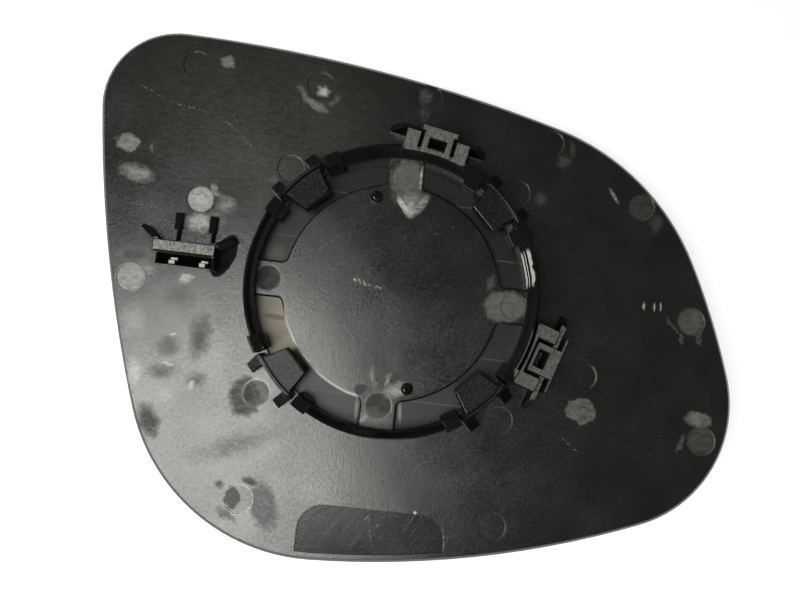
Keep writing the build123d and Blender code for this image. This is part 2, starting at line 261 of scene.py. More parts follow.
# Grain, dust specks and wiping streaks
FINE_GRAIN_DETAIL = (3.0, 0.6)
COARSE_GRAIN_DETAIL = (1.0, 0.5)
COARSE_GRAIN_SCALE = 0.37
FINE_GRAIN_SHARE = 0.7
STREAK_STRETCH = (0.06, 1.0, 1.0)
STREAK_DETAIL = (3.0, 0.65)
STREAK_RANGE = (0.5, 0.72)
PLATE_SPECKS = {"Spacing": 6.0, "Speck": 0.24, "Share": 0.25}
FILM_SPECKS = {"Spacing": 4.0, "Speck": 0.2, "Share": 0.3}
MIRROR_SPECKS = {"Spacing": 7.0, "Speck": 0.3, "Share": 0.35}
PLATE_STREAKS = {"Turn": math.radians(42), "Fineness": 0.7}
PAD_STREAKS = {"Turn": math.radians(58), "Fineness": 0.9}
MIRROR_STREAKS = {"Turn": math.radians(24), "Fineness": 0.35}
BLADE_STREAKS = {"Turn": 0.0, "Fineness": 5.0}

# Heights over the plate, and rises of the surface, at which one kind of face gives way to the next
RAISED_HEIGHTS = (0.5, 1.0)
TOP_HEIGHTS = (2.0, 3.0)
UPWARD_RISES = (0.80, 0.97)
WALL_RISES = (0.5, 0.2)
SLOPE_START = (0.2, 0.5)
SLOPE_END = (0.96, 0.85)
SLOPE_REACH = (32.0, 34.0)

# Upper clip's fin stays plain black: its heights and how far up it starts
FIN_HEIGHTS = (8.8, 8.4)
FIN_START = (36.0, 38.0)

# Leaning of the shading: away from the lamp, upwards on walls, and to the plate's lower edge on the pad
TOP_FALL = (0.28, 0.14, 0.0)
SLOPE_FALL = (0.6, 0.45, 0.0)
CORNER_FALL = (0.5, 0.35, 0.0)
SLOT_FALL = (0.5, 0.35, 0.0)
WALL_RISE = (0.0, 0.0, 0.7)
PAD_FALL = (0.0, -0.085, 0.0)

# How far smears and scratches wander, and how uneven their cover is
SMEAR_DRIFT = 4.6
SCRATCH_DRIFT = 1.2
DRIFT_SHIFT = (37.0, 11.0, 5.0)
BRUSHING = (0.5, 1.0, 1.0)
MOTTLING_RANGE = (0.32, 0.64)
WHITE_COVER = (0.45, 1.35)
DULL_COVER = (0.70, 1.15)
DOT_RANGE = (0.52, 0.62)
BREAK_RANGE = (0.35, 0.6)
LINE_COVER = (0.35, 1.25)
THIN_SOFTNESS = 0.5
SCRATCH_DULLNESS = 0.3
SPECK_MARK = (0.12, 0.0, 0.0)

# Painted highlight along the lower left edge of the disc: its distance from the edge, how low and how far
# left it lies
DISC_RADIUS = 31.5
DISC_HIGHLIGHT_REACH = (0.6, 0.2)
DISC_HIGHLIGHT_BELOW = (-6.0, -14.0)
DISC_HIGHLIGHT_LEFT = (-5.5, -7.0)

# Painted highlight streaks on the ring's inner wall: height and half height of each, then their wander and
# sharp core
WALL_HIGHLIGHT_BANDS = [(1.2, 1.3), (4.6, 0.6), (8.3, 0.7)]
WALL_HIGHLIGHT_WANDER = 3.0
WALL_HIGHLIGHT_CORE = 0.6
RING_INSIDE = (40.3, 39.9)

# Smooth pad at the lower edge: a little duller, with slanted streaks
PAD_SIDES = (-18.8, 22.7)
PAD_SIDE_EDGE = 0.1
PAD_TOP = -62.0
PAD_TOP_EDGE = 0.2
PAD_DEPTHS = (-0.15, -0.25)
PAD_MARK = (0.0, 0.06, 0.0)
PAD_STREAK_MARK = (0.02, 0.25, 0.0)

# Moulding: speckle of the tops, dust, gloss and relief
TOP_SOFTNESS = 0.08
TOP_FINENESS = 3.2
TOP_RELIEF = 1.5
SPECKLE_RANGE = (0.40, 0.62)
SPECKLE_COVER = (0.35, 1.9)
CLOUD_RANGE = (0.35, 0.65)
CLOUD_COVER = (0.3, 1.7)
DUST_WHITENESS = (0.0, 0.014)
GLOSS_CLOUDS = (-0.04, 0.05)
GLOSS_GRAINS = (-0.045, 0.045)
WIPED_ROUGHNESS = 0.03
MOULDING_SPECULAR = 0.9
MOULDING_FINENESS = 2.4
MOULDING_RELIEF = 0.000036
EDGE_ROUNDING = 0.00025
EDGE_SAMPLES = 4

# Heater film: painted paler low down as a sheen, tan behind the lower left window, and painted shade in
# black in the slot and at the ring's foot
FILM_GREY = (0.018, 0.019, 0.017)
FILM_SHEEN_GREY = (0.042, 0.044, 0.040)
FILM_SHADE_BLACK = (0.002, 0.002, 0.002)
FILM_TAN = (0.40, 0.335, 0.215)
OVAL_DARK = (0.05, 0.05, 0.045)
OVAL_SHARE = 0.75
PALE_SHARE = 0.25
SHEEN_BELOW = (15.0, -30.0)
FILM_CLOUD_COVER = (0.8, 1.15)
FOOT_SHADE = (36.4, 37.6)
FOOT_ABOVE = (5.0, 22.0)
TRACK_SPACING = 14.6
TRACK_START = 13.2
TRACK_HALF_WIDTHS = (0.26, 0.10)
TRACK_LIGHT = 0.12
FILM_SPECK_LIGHT = 0.15
FILM_FINENESS = 2.2
FILM_ROUGHNESS = (0.26, 0.34)
FILM_RELIEF = 0.000008

# Painted highlight glints on the film beside the lower arm: place, half length, half width, turn,
# brightness
GLINT_SOFTNESS = 0.7
FILM_GLINTS = [
    ((-6.2, -34.9), 4.6, 0.7, 91, 0.35),
    ((6.3, -33.8), 4.4, 0.8, 98, 0.40),
]

# Mirror face and its bare edge
SILVER = (0.84, 0.86, 0.86)
WIPED_SILVER = (0.72, 0.74, 0.73)
SPECK_GREY = (0.45, 0.45, 0.43)
EDGE_GREEN = (0.16, 0.23, 0.20)
GLASS_EDGE_RISES = (0.75, 0.35)
WIPED_SHARE = 0.25
SPECK_SHARE = 0.5
HAZE_RANGE = (0.4, 0.7)
HAZE_ROUGHNESS = (0.02, 0.07)
SMEAR_ROUGHNESS = 0.05
SPECK_ROUGHNESS = 0.3

# Tinned contact blades
TIN = (0.42, 0.41, 0.37)
DULL_TIN = (0.25, 0.24, 0.21)
DULL_TIN_SHARE = 0.6
SPOT_RANGE = (0.45, 0.7)
BLADE_ROUGHNESS = 0.45
LINE_ROUGHNESS = 0.15
BLADE_FINENESS = 6.0
BLADE_RELIEF = 0.000006

# Start of every chain of marks
NOTHING = (0.0, 0.0, 0.0)

# Kinds of the groups' sockets
FLOAT = "NodeSocketFloat"
VECTOR = "NodeSocketVector"


class Board:
    """Node tree with short ways to add and join its nodes."""

    def __init__(self, tree):
        self.tree = tree

    def feed(self, socket, value):
        """Join an output to a socket, or set the socket's value."""
        if isinstance(value, bpy.types.NodeSocket):
            self.tree.links.new(value, socket)
        else:
            socket.default_value = value

    def node(self, kind, inputs, **settings):
        """Node of a kind with its settings and inputs."""
        made = self.tree.nodes.new(kind)
        for name, value in settings.items():
            setattr(made, name, value)
        for name, value in inputs.items():
            self.feed(made.inputs[name], value)
        return made

    def math(self, operation, first, second=0.0, clamp=False):
        """Sum of two values, or another operation."""
        settings = {"operation": operation, "use_clamp": clamp}
        return self.node("ShaderNodeMath", {0: first, 1: second}, **settings).outputs[0]

    def vector(self, operation, first, second=(0.0, 0.0, 0.0)):
        """Sum of two vectors, or another operation."""
        made = self.node("ShaderNodeVectorMath", {0: first, 1: second}, operation=operation)
        return made.outputs["Vector"]

    def dot(self, first, second):
        """How far one vector goes along another."""
        made = self.node("ShaderNodeVectorMath", {0: first, 1: second}, operation="DOT_PRODUCT")
        return made.outputs["Value"]

    def length(self, vector):
        """Length of a vector."""
        return self.node("ShaderNodeVectorMath", {0: vector}, operation="LENGTH").outputs["Value"]

    def scaled(self, vector, scale):
        """Vector times a number."""
        made = self.node("ShaderNodeVectorMath", {0: vector, "Scale": scale}, operation="SCALE")
        return made.outputs["Vector"]

    def moved(self, vector, shift=(0.0, 0.0, 0.0), scale=(1.0, 1.0, 1.0)):
        """Vector scaled and then shifted."""
        inputs = {"Vector": vector, "Location": shift, "Scale": scale}
        return self.node("ShaderNodeMapping", inputs).outputs["Vector"]

    def fade(self, value, start, end, low=0.0, high=1.0):
        """Smooth change from low to high while a value goes from start to end."""
        inputs = {"Value": value, "From Min": start, "From Max": end, "To Min": low, "To Max": high}
        return self.node("ShaderNodeMapRange", inputs, interpolation_type="SMOOTHSTEP").outputs["Result"]

    def noise(self, position, scale, detail, roughness):
        """Noise at a position, between 0 and 1."""
        inputs = {"Vector": position, "Scale": scale, "Detail": detail, "Roughness": roughness}
        return self.node("ShaderNodeTexNoise", inputs).outputs[0]

    def split(self, vector):
        """Three parts of a vector."""
        return self.node("ShaderNodeSeparateXYZ", {0: vector}).outputs

    def mixed(self, share, first, second):
        """Colour between two colours."""
        made = self.tree.nodes.new("ShaderNodeMix")
        made.data_type = "RGBA"
        self.feed(made.inputs["Factor"], share)
        self.feed(made.inputs[6], first)
        self.feed(made.inputs[7], second)
        return made.outputs[2]

    def group(self, group, **inputs):
        """Shared group with its own values; input names have underscores for spaces."""
        made = self.tree.nodes.new("ShaderNodeGroup")
        made.node_tree = group
        for name, value in inputs.items():
            self.feed(made.inputs[name.replace("_", " ")], value)
        return made.outputs


def paint(colour):
    """Colour with full cover."""
    return (*colour, 1.0)


def new_group(name, inputs, outputs):
    """Empty node group with its named sockets, as a board with its two ends."""
    group = bpy.data.node_groups.new(name, "ShaderNodeTree")
    for socket, kind in inputs.items():
        group.interface.new_socket(socket, in_out="INPUT", socket_type=kind)
    for socket, kind in outputs.items():
        group.interface.new_socket(socket, in_out="OUTPUT", socket_type=kind)
    board = Board(group)
    start = group.nodes.new("NodeGroupInput").outputs
    end = group.nodes.new("NodeGroupOutput").inputs
    return group, board, start, end


def held(board, before, values, share):
    """Values so far, or a share of new ones where those are larger."""
    return board.vector("MAXIMUM", before, board.scaled(values, share))


def rub_group():
    """Soft oval patch with three values of its own; each value stays the largest so far."""
    group, board, start, end = new_group(
        "rub_patch",
        {"Before": VECTOR, "Position": VECTOR, "Middle": VECTOR, "Reach": VECTOR, "Turn": VECTOR,
         "Sharpness": FLOAT, "Values": VECTOR},
        {"After": VECTOR})
    placing = {"Vector": start["Position"], "Location": start["Middle"], "Rotation": start["Turn"],
               "Scale": start["Reach"]}
    local = board.node("ShaderNodeMapping", placing, vector_type="TEXTURE").outputs["Vector"]
    ball = board.node("ShaderNodeTexGradient", {"Vector": local}, gradient_type="SPHERICAL")
    mask = board.math("MULTIPLY", ball.outputs["Fac"], start["Sharpness"], clamp=True)
    board.feed(end["After"], held(board, start["Before"], start["Values"], mask))
    return group


def pin_group():
    """Ejector pin mark: its floor's three values, and a thin painted highlight round its rim, stronger on
    one side.
    """
    group, board, start, end = new_group(
        "pin_mark_and_rim_highlight",
        {"Before": VECTOR, "Position": VECTOR, "Middle": VECTOR, "Floor": VECTOR, "Line": VECTOR,
         "Lit Side": VECTOR, "Evenness": FLOAT},
        {"After": VECTOR})
    local = board.vector("SUBTRACT", start["Position"], start["Middle"])
    away = board.length(local)
    inside = board.math("SUBTRACT", PIN_RADIUS - PIN_FLOOR_INSET, away)
    floor = board.math("MULTIPLY", inside, PIN_FLOOR_SHARPNESS, clamp=True)
    # Painted highlight: a thin light ring round the rim, stronger on the side towards the lamp
    gap = board.math("ABSOLUTE", board.math("SUBTRACT", away, PIN_RADIUS))
    near = board.math("SUBTRACT", PIN_HIGHLIGHT_HALF_WIDTH, gap)
    rim_highlight = board.math("MULTIPLY", near, PIN_HIGHLIGHT_SHARPNESS, clamp=True)
    side = board.dot(local, start["Lit Side"])
    one_sided_highlight = board.math("MULTIPLY", rim_highlight, board.math("ADD", side, start["Evenness"], clamp=True))
    floored = held(board, start["Before"], start["Floor"], floor)
    board.feed(end["After"], held(board, floored, start["Line"], one_sided_highlight))
    return group


def grain_group():
    """Fine moulded grain: a height between 0 and 1."""
    group, board, start, end = new_group(
        "fine_grain", {"Position": VECTOR, "Fineness": FLOAT}, {"Height": FLOAT})
    fine = board.noise(start["Position"], start["Fineness"], *FINE_GRAIN_DETAIL)
    coarse_scale = board.math("MULTIPLY", start["Fineness"], COARSE_GRAIN_SCALE)
    coarse = board.noise(start["Position"], coarse_scale, *COARSE_GRAIN_DETAIL)
    fine_part = board.math("MULTIPLY", fine, FINE_GRAIN_SHARE)
    coarse_part = board.math("MULTIPLY", coarse, 1.0 - FINE_GRAIN_SHARE)
    board.feed(end["Height"], board.math("ADD", fine_part, coarse_part))
    return group


def speck_group():
    """Scattered dust specks: a mask with small dots, in some of the cells only."""
    group, board, start, end = new_group(
        "dust_specks",
        {"Position": VECTOR, "Spacing": FLOAT, "Speck": FLOAT, "Share": FLOAT},
        {"Mask": FLOAT})
    scale = board.math("DIVIDE", 1.0, start["Spacing"])
    cells = board.node("ShaderNodeTexVoronoi", {"Vector": start["Position"], "Scale": scale})
    size = board.math("DIVIDE", start["Speck"], start["Spacing"])
    near = board.math("LESS_THAN", cells.outputs["Distance"], size)
    chosen = board.math("LESS_THAN", board.split(cells.outputs["Color"])[0], start["Share"])
    board.feed(end["Mask"], board.math("MULTIPLY", near, chosen))
    return group


def streak_group():
    """Thin wiping streaks along one direction: a mask between 0 and 1."""
    group, board, start, end = new_group(
        "wiping_streaks", {"Position": VECTOR, "Turn": FLOAT, "Fineness": FLOAT}, {"Mask": FLOAT})
    turning = {"Vector": start["Position"], "Angle": start["Turn"]}
    turned = board.node("ShaderNodeVectorRotate", turning, rotation_type="Z_AXIS", invert=True)
    drawn = board.vector("MULTIPLY", turned.outputs["Vector"], STREAK_STRETCH)
    lines = board.noise(drawn, start["Fineness"], *STREAK_DETAIL)
    board.feed(end["Mask"], board.fade(lines, *STREAK_RANGE))
    return group


RUB = rub_group()
PIN = pin_group()
GRAIN = grain_group()
SPECKS = speck_group()
STREAKS = streak_group()


def new_material(name):
    """Node material, its board and its shader."""
    material = bpy.data.materials.new(name)
    material.use_nodes = True
    board = Board(material.node_tree)
    return material, board, material.node_tree.nodes["Principled BSDF"]


def in_millimetres(board):
    """Place on the piece in millimetres, the same seen flat from above, and the surface's direction."""
    coordinates = board.node("ShaderNodeTexCoord", {}).outputs
    return SimpleNamespace(
        position=board.moved(coordinates["Object"], scale=(MILLIMETRES, MILLIMETRES, MILLIMETRES)),
        flat=board.moved(coordinates["Object"], scale=(MILLIMETRES, MILLIMETRES, 0.0)),
        normal=coordinates["Normal"])


def rubbed(board, before, position, middle, half_length, half_width, turn, softness, values):
    """Values so far with one more patch."""
    return board.group(RUB, Before=before, Position=position, Middle=(*middle, 0.0), Values=values,
                       Reach=(half_length, half_width, 1.0), Turn=(0.0, 0.0, math.radians(turn)),
                       Sharpness=1.0 / softness)["After"]


def pinned(board, before, position, middle, white, dull, rim_highlight, turn, one_side):
    """Values so far with one more pin mark and its painted rim highlight."""
    slope = one_side / PIN_RADIUS
    lit_side = (math.cos(math.radians(turn)) * slope, math.sin(math.radians(turn)) * slope, 0.0)
    return board.group(PIN, Before=before, Position=position, Middle=(*middle, 0.0),
                       Floor=(white, dull, 0.0), Line=(rim_highlight, 0.0, 0.0), Lit_Side=lit_side,
                       Evenness=1.0 - one_side)["After"]


def patch_mask(board, position, patch):
    """Mask of one patch alone."""
    return board.split(rubbed(board, NOTHING, position, *patch, (1.0, 0.0, 0.0)))[0]


def relief_bump(board, shader, depth, height, normal=None):
    """Surface direction with a relief on it."""
    inputs = {"Strength": 1.0, "Distance": depth, "Height": height}
    if normal is not None:
        inputs["Normal"] = normal
    board.feed(shader.inputs["Normal"], board.node("ShaderNodeBump", inputs).outputs[0])


def moulding_spot(board):
    """Place on the moulding, its height and kind of face, and ragged copies of the place for marks."""
    spot = in_millimetres(board)
    spot.x, spot.y, z = board.split(spot.position)
    spot.reach = board.length(spot.flat)
    sag = board.math("DIVIDE", board.math("MULTIPLY", spot.reach, spot.reach), 2 * PLATE_CURVE)
    spot.height = board.math("SUBTRACT", z, sag)
    spot.raised = board.fade(spot.height, *RAISED_HEIGHTS)
    spot.rise = board.split(spot.normal)[2]
    spot.upward = board.fade(spot.rise, *UPWARD_RISES)
    spot.sway = board.math("SUBTRACT", board.noise(spot.flat, *DRIFT_NOISE), NOISE_MEAN)
    elsewhere = board.moved(spot.flat, DRIFT_SHIFT)
    swing = board.math("SUBTRACT", board.noise(elsewhere, *DRIFT_NOISE), NOISE_MEAN)
    drift = board.node("ShaderNodeCombineXYZ", {0: spot.sway, 1: swing}).outputs[0]
    spot.ragged = board.moved(spot.flat, board.scaled(drift, SMEAR_DRIFT))
    spot.steady = board.moved(spot.flat, board.scaled(drift, SCRATCH_DRIFT))
    return spot


def plate_marks(board, spot):
    """Whiteness and dullness of pin marks, smears, scratches and dust, and the mottling of their cover."""
    pins = NOTHING
    for mark in PIN_MARKS:
        pins = pinned(board, pins, spot.flat, *mark)
    rubs = NOTHING
    for *patch, white, dull in RUBS:
        rubs = rubbed(board, rubs, spot.ragged, *patch, (white, dull, 0.0))
    mottling = board.noise(board.moved(spot.flat, scale=BRUSHING), *MOTTLING_NOISE)
    patchy = board.fade(mottling, *MOTTLING_RANGE, *WHITE_COVER)
    even = board.fade(mottling, *MOTTLING_RANGE, *DULL_COVER)
    cover = board.node("ShaderNodeCombineXYZ", {0: patchy, 1: even, 2: 1.0}).outputs[0]
    marks = board.vector("MULTIPLY", board.vector("MAXIMUM", pins, rubs), cover)
    scratches = NOTHING
    for *patch, white in SCRATCHES:
        values = (white, SCRATCH_DULLNESS, 0.0)
        scratches = rubbed(board, scratches, spot.steady, *patch, THIN_SOFTNESS, values)
    dots = board.fade(board.noise(spot.flat, *DOT_NOISE), *DOT_RANGE)
    marks = held(board, marks, scratches, dots)
    specks = board.group(SPECKS, Position=spot.flat, **PLATE_SPECKS)["Mask"]
    return held(board, marks, SPECK_MARK, specks), mottling


def wear_and_painted_highlights(board, spot, mottling):
    """Bare bright lines and nicks, and painted highlights: on the tally ribs, along the lower left edge of
    the disc and in streaks on the ring's inner wall.
    """
    lines = NOTHING
    for *patch, bright in BRIGHT_LINES:
        lines = rubbed(board, lines, spot.steady, *patch, THIN_SOFTNESS, (bright, 0.0, 0.0))
    # Painted highlight along the disc's edge on the lower left, the side towards the lamp
    from_edge = board.math("ABSOLUTE", board.math("SUBTRACT", spot.reach, DISC_RADIUS))
    disc_highlight = board.fade(from_edge, *DISC_HIGHLIGHT_REACH)
    disc_highlight = board.math("MULTIPLY", disc_highlight, board.fade(spot.y, *DISC_HIGHLIGHT_BELOW))
    disc_highlight = board.math("MULTIPLY", disc_highlight, board.fade(spot.x, *DISC_HIGHLIGHT_LEFT))
    # Painted highlight streaks on the right of the ring's inner wall, standing in for its reflection of
    # the lamp
    uneven = board.math("ADD", spot.height, board.math("MULTIPLY", spot.sway, WALL_HIGHLIGHT_WANDER))
    bands = 0.0
    for middle, half_height in WALL_HIGHLIGHT_BANDS:
        away = board.math("ABSOLUTE", board.math("SUBTRACT", uneven, middle))
        bands = board.math("MAXIMUM", bands, board.fade(away, half_height, half_height * WALL_HIGHLIGHT_CORE))
    wall_highlight = board.math("MULTIPLY", patch_mask(board, spot.flat, WALL_HIGHLIGHT_PATCH), bands)
    wall_highlight = board.math("MULTIPLY", wall_highlight, board.fade(spot.reach, *RING_INSIDE))
    drawn = board.split(lines)[0]
    broken = board.math("MULTIPLY", drawn, board.fade(mottling, *BREAK_RANGE, *LINE_COVER))
    return board.math("MAXIMUM", broken, board.math("MAXIMUM", disc_highlight, wall_highlight))


def pad_mask(board, spot):
    """Mask of the smooth pad."""
    left, right = PAD_SIDES
    from_left = board.fade(spot.x, left - PAD_SIDE_EDGE, left + PAD_SIDE_EDGE)
    from_right = board.fade(spot.x, right + PAD_SIDE_EDGE, right - PAD_SIDE_EDGE)
    between = board.math("MULTIPLY", from_left, from_right)
    sunk = board.fade(spot.height, *PAD_DEPTHS)
    sunk_between = board.math("MULTIPLY", between, sunk)
    return board.math("MULTIPLY", sunk_between, board.fade(spot.y, PAD_TOP + PAD_TOP_EDGE, PAD_TOP))


def grained_tops(board, spot):
    """Whiteness, dullness and grain on the tops of the clips, the bar and the hooks."""
    tops = NOTHING
    for *patch, white, dull, grain in MOULDED_TOPS:
        tops = rubbed(board, tops, spot.flat, *patch, TOP_SOFTNESS, (white, dull, grain))
    on_top = board.math("MULTIPLY", board.fade(spot.height, *TOP_HEIGHTS), spot.upward)
    fin = board.math("MULTIPLY", board.fade(spot.height, *FIN_HEIGHTS), board.fade(spot.y, *FIN_START))
    return board.scaled(tops, board.math("MULTIPLY", on_top, board.math("SUBTRACT", 1.0, fin)))


def moulding_dust(board, spot):
    """Whiteness of fine dust that lies in clouds."""
    clouds = board.fade(board.noise(spot.flat, *CLOUD_NOISE), *CLOUD_RANGE, *CLOUD_COVER)
    dust = board.fade(board.noise(spot.flat, *DUST_NOISE), *NOISE_MIDDLE, *DUST_WHITENESS)
    return board.math("MULTIPLY", dust, clouds)


def moulding_gloss(board, spot):
    """Roughness of the clean moulding: mottled and wiped, and glossier on what stands up."""
    cloud = board.fade(board.noise(spot.flat, *GLOSS_CLOUD_NOISE), *NOISE_MIDDLE, *GLOSS_CLOUDS)
    grainy = board.fade(board.noise(spot.flat, *GLOSS_GRAIN_NOISE), *NOISE_MIDDLE, *GLOSS_GRAINS)
    wiped = board.group(STREAKS, Position=spot.flat, **PLATE_STREAKS)["Mask"]
    mottle = board.math("ADD", cloud, grainy)
    mottle = board.math("ADD", mottle, board.math("MULTIPLY", wiped, WIPED_ROUGHNESS))
    return board.math("ADD", mottle, board.fade(spot.raised, 0.0, 1.0, MOULDING_GLOSS, RAISED_GLOSS))


def shading_lean(board, spot, top_share, pad):
    """Lean of the shading on plain tops, walls, slopes, the pad and the dark corner by the bracket."""
    plain_top = board.math("MULTIPLY", spot.raised, spot.upward)
    plain_top = board.math("MULTIPLY", plain_top, board.math("SUBTRACT", 1.0, top_share))
    wall = board.math("MULTIPLY", spot.raised, board.fade(spot.rise, *WALL_RISES))
    slope = board.math("MULTIPLY", board.fade(spot.rise, *SLOPE_START), board.fade(spot.rise, *SLOPE_END))
    slope = board.math("MULTIPLY", spot.raised, slope)
    slope = board.math("MULTIPLY", slope, board.fade(spot.reach, *SLOPE_REACH))
    lean = board.vector("ADD", board.scaled(TOP_FALL, plain_top), board.scaled(PAD_FALL, pad))
    lean = board.vector("ADD", lean, board.scaled(WALL_RISE, wall))
    lean = board.vector("ADD", lean, board.scaled(SLOPE_FALL, slope))
    corner = patch_mask(board, spot.steady, CORNER_PATCH)
    corner = board.math("MULTIPLY", corner, board.math("SUBTRACT", 1.0, spot.raised))
    return board.vector("ADD", lean, board.scaled(CORNER_FALL, corner))


def black_moulding():
    """Satin black moulding with pin marks, rubbed patches, scratches and grained tops."""
    material, board, shader = new_material("black_moulding")
    spot = moulding_spot(board)
    marks, mottling = plate_marks(board, spot)
    bright = wear_and_painted_highlights(board, spot, mottling)
    # Marks lie on the plate and not on what stands up
    marks = board.scaled(marks, board.math("SUBTRACT", 1.0, spot.raised))
    pad = pad_mask(board, spot)
    streaks = board.group(STREAKS, Position=spot.flat, **PAD_STREAKS)["Mask"]
    marks = held(board, marks, PAD_MARK, pad)
    marks = held(board, marks, PAD_STREAK_MARK, board.math("MULTIPLY", pad, streaks))
    tops = grained_tops(board, spot)
    coarse = board.group(GRAIN, Position=spot.position, Fineness=TOP_FINENESS)["Height"]
    speckle = board.fade(coarse, *SPECKLE_RANGE, *SPECKLE_COVER)
    top_white, top_dull, top_share = board.split(tops)
    marks_white, marks_dull = board.split(marks)[:2]
    # Colour: black, a darker black on what stands up as painted shade, with chalk where it is marked, and
    # white where it is worn and where highlights are painted
    dust = moulding_dust(board, spot)
    white = board.math("ADD", board.math("MULTIPLY", top_white, speckle), marks_white)
    white = board.math("ADD", white, dust, clamp=True)
    # Painted shade: what stands up is a darker black than the plate
    black = board.mixed(spot.raised, paint(MOULDING_BLACK), paint(RAISED_SHADE_BLACK))
    colour = board.mixed(white, black, paint(CHALK))
    board.feed(shader.inputs["Base Color"], board.mixed(bright, colour, paint(WEAR_AND_HIGHLIGHT_WHITE)))
    # Gloss: from the clean moulding's to matte where it is dull
    gloss = moulding_gloss(board, spot)
    dull = board.math("MAXIMUM", marks_dull, top_dull)
    span = board.math("SUBTRACT", MATTE_ROUGHNESS, gloss)
    board.feed(shader.inputs["Roughness"], board.math("ADD", gloss, board.math("MULTIPLY", dull, span)))
    shader.inputs["Specular IOR Level"].default_value = MOULDING_SPECULAR
    # Rounded edges, fine grain everywhere and coarser grain on the tops
    fine = board.group(GRAIN, Position=spot.position, Fineness=MOULDING_FINENESS)["Height"]
    on_tops = board.math("MULTIPLY", board.math("MULTIPLY", coarse, top_share), TOP_RELIEF)
    relief = board.math("ADD", fine, on_tops)
    rounded = board.node("ShaderNodeBevel", {"Radius": EDGE_ROUNDING}, samples=EDGE_SAMPLES).outputs[0]
    lean = shading_lean(board, spot, top_share, pad)
    leaning = board.vector("NORMALIZE", board.vector("ADD", rounded, lean))
    relief_bump(board, shader, MOULDING_RELIEF, relief, leaning)
    return material


def film_tracks(board, y):
    """Mask of the thin level tracks."""
    turns = board.math("DIVIDE", board.math("SUBTRACT", y, TRACK_START), TRACK_SPACING)
    across = board.math("ABSOLUTE", board.math("SUBTRACT", turns, board.math("ROUND", turns)))
    return board.fade(board.math("MULTIPLY", across, TRACK_SPACING), *TRACK_HALF_WIDTHS)


def heater_film():
    """Dark film with thin tracks, tan behind the lower left window, with painted shade, sheen and glints.
    """
    material, board, shader = new_material("heater_film")
    spot = in_millimetres(board)
    y = board.split(spot.position)[1]
    # Grey ground painted paler low down as a sheen, tan ground, and an oval dark mark
    tan = patch_mask(board, spot.flat, TAN_PATCH)
    pale = patch_mask(board, spot.flat, PALE_PATCH)
    tan = board.math("MAXIMUM", tan, board.math("MULTIPLY", pale, PALE_SHARE))
    cloud = board.fade(board.noise(spot.flat, *FILM_NOISE), *NOISE_MIDDLE, *FILM_CLOUD_COVER)
    # Painted sheen: the grey ground is paler low down, towards the lamp
    grey = board.mixed(board.fade(y, *SHEEN_BELOW), paint(FILM_GREY), paint(FILM_SHEEN_GREY))
    colour = board.mixed(board.math("MULTIPLY", tan, cloud, clamp=True), grey, paint(FILM_TAN))
    oval = patch_mask(board, spot.flat, OVAL_PATCH)
    colour = board.mixed(board.math("MULTIPLY", oval, OVAL_SHARE), colour, paint(OVAL_DARK))
    # Tracks and specks
    tracks = film_tracks(board, y)
    colour = board.mixed(board.math("MULTIPLY", tracks, TRACK_LIGHT), colour, paint(CHALK))
    specks = board.group(SPECKS, Position=spot.flat, **FILM_SPECKS)["Mask"]
    colour = board.mixed(board.math("MULTIPLY", specks, FILM_SPECK_LIGHT), colour, paint(CHALK))
    # Painted shade in black along the ring's foot and in the terminal slot, and the painted highlight
    # glints
    ring_foot_shade = board.fade(board.length(spot.flat), *FOOT_SHADE)
    ring_foot_shade = board.math("MULTIPLY", ring_foot_shade, board.fade(y, *FOOT_ABOVE))
    colour = board.mixed(ring_foot_shade, colour, paint(FILM_SHADE_BLACK))
    # Painted shade: black in the terminal slot under the bar
    slot_shade = patch_mask(board, spot.flat, SLOT_SHADE_PATCH)
    colour = board.mixed(slot_shade, colour, paint(FILM_SHADE_BLACK))
    # Painted highlights: glints on the film beside the lower arm
    glints = NOTHING
    for *patch, bright in FILM_GLINTS:
        glints = rubbed(board, glints, spot.flat, *patch, GLINT_SOFTNESS, (bright, 0.0, 0.0))
    colour = board.mixed(board.split(glints)[0], colour, paint(WEAR_AND_HIGHLIGHT_WHITE))
    board.feed(shader.inputs["Base Color"], colour)
    grain = board.group(GRAIN, Position=spot.position, Fineness=FILM_FINENESS)["Height"]
    board.feed(shader.inputs["Roughness"], board.fade(grain, *NOISE_MIDDLE, *FILM_ROUGHNESS))
    lean = board.scaled(SLOT_FALL, slot_shade)
    leaning = board.vector("NORMALIZE", board.vector("ADD", spot.normal, lean))
    relief_bump(board, shader, FILM_RELIEF, grain, leaning)
    return material


def mirror_face():
    """Silvered face with faint wiping marks, and greenish bare edges."""
    material, board, shader = new_material("mirror_face")
    spot = in_millimetres(board)
    edge = board.fade(board.math("ABSOLUTE", board.split(spot.normal)[2]), *GLASS_EDGE_RISES)
    wiped = board.group(STREAKS, Position=spot.flat, **MIRROR_STREAKS)["Mask"]
    specks = board.group(SPECKS, Position=spot.flat, **MIRROR_SPECKS)["Mask"]
    silver = board.mixed(board.math("MULTIPLY", wiped, WIPED_SHARE), paint(SILVER), paint(WIPED_SILVER))
    silver = board.mixed(board.math("MULTIPLY", specks, SPECK_SHARE), silver, paint(SPECK_GREY))
    board.feed(shader.inputs["Base Color"], board.mixed(edge, silver, paint(EDGE_GREEN)))
    board.feed(shader.inputs["Metallic"], board.math("SUBTRACT", 1.0, edge))
    haze = board.fade(board.noise(spot.flat, *HAZE_NOISE), *HAZE_RANGE, *HAZE_ROUGHNESS)
    rough = board.math("ADD", haze, board.math("MULTIPLY", wiped, SMEAR_ROUGHNESS))
    rough = board.math("ADD", rough, board.math("MULTIPLY", specks, SPECK_ROUGHNESS))
    board.feed(shader.inputs["Roughness"], rough)
    return material


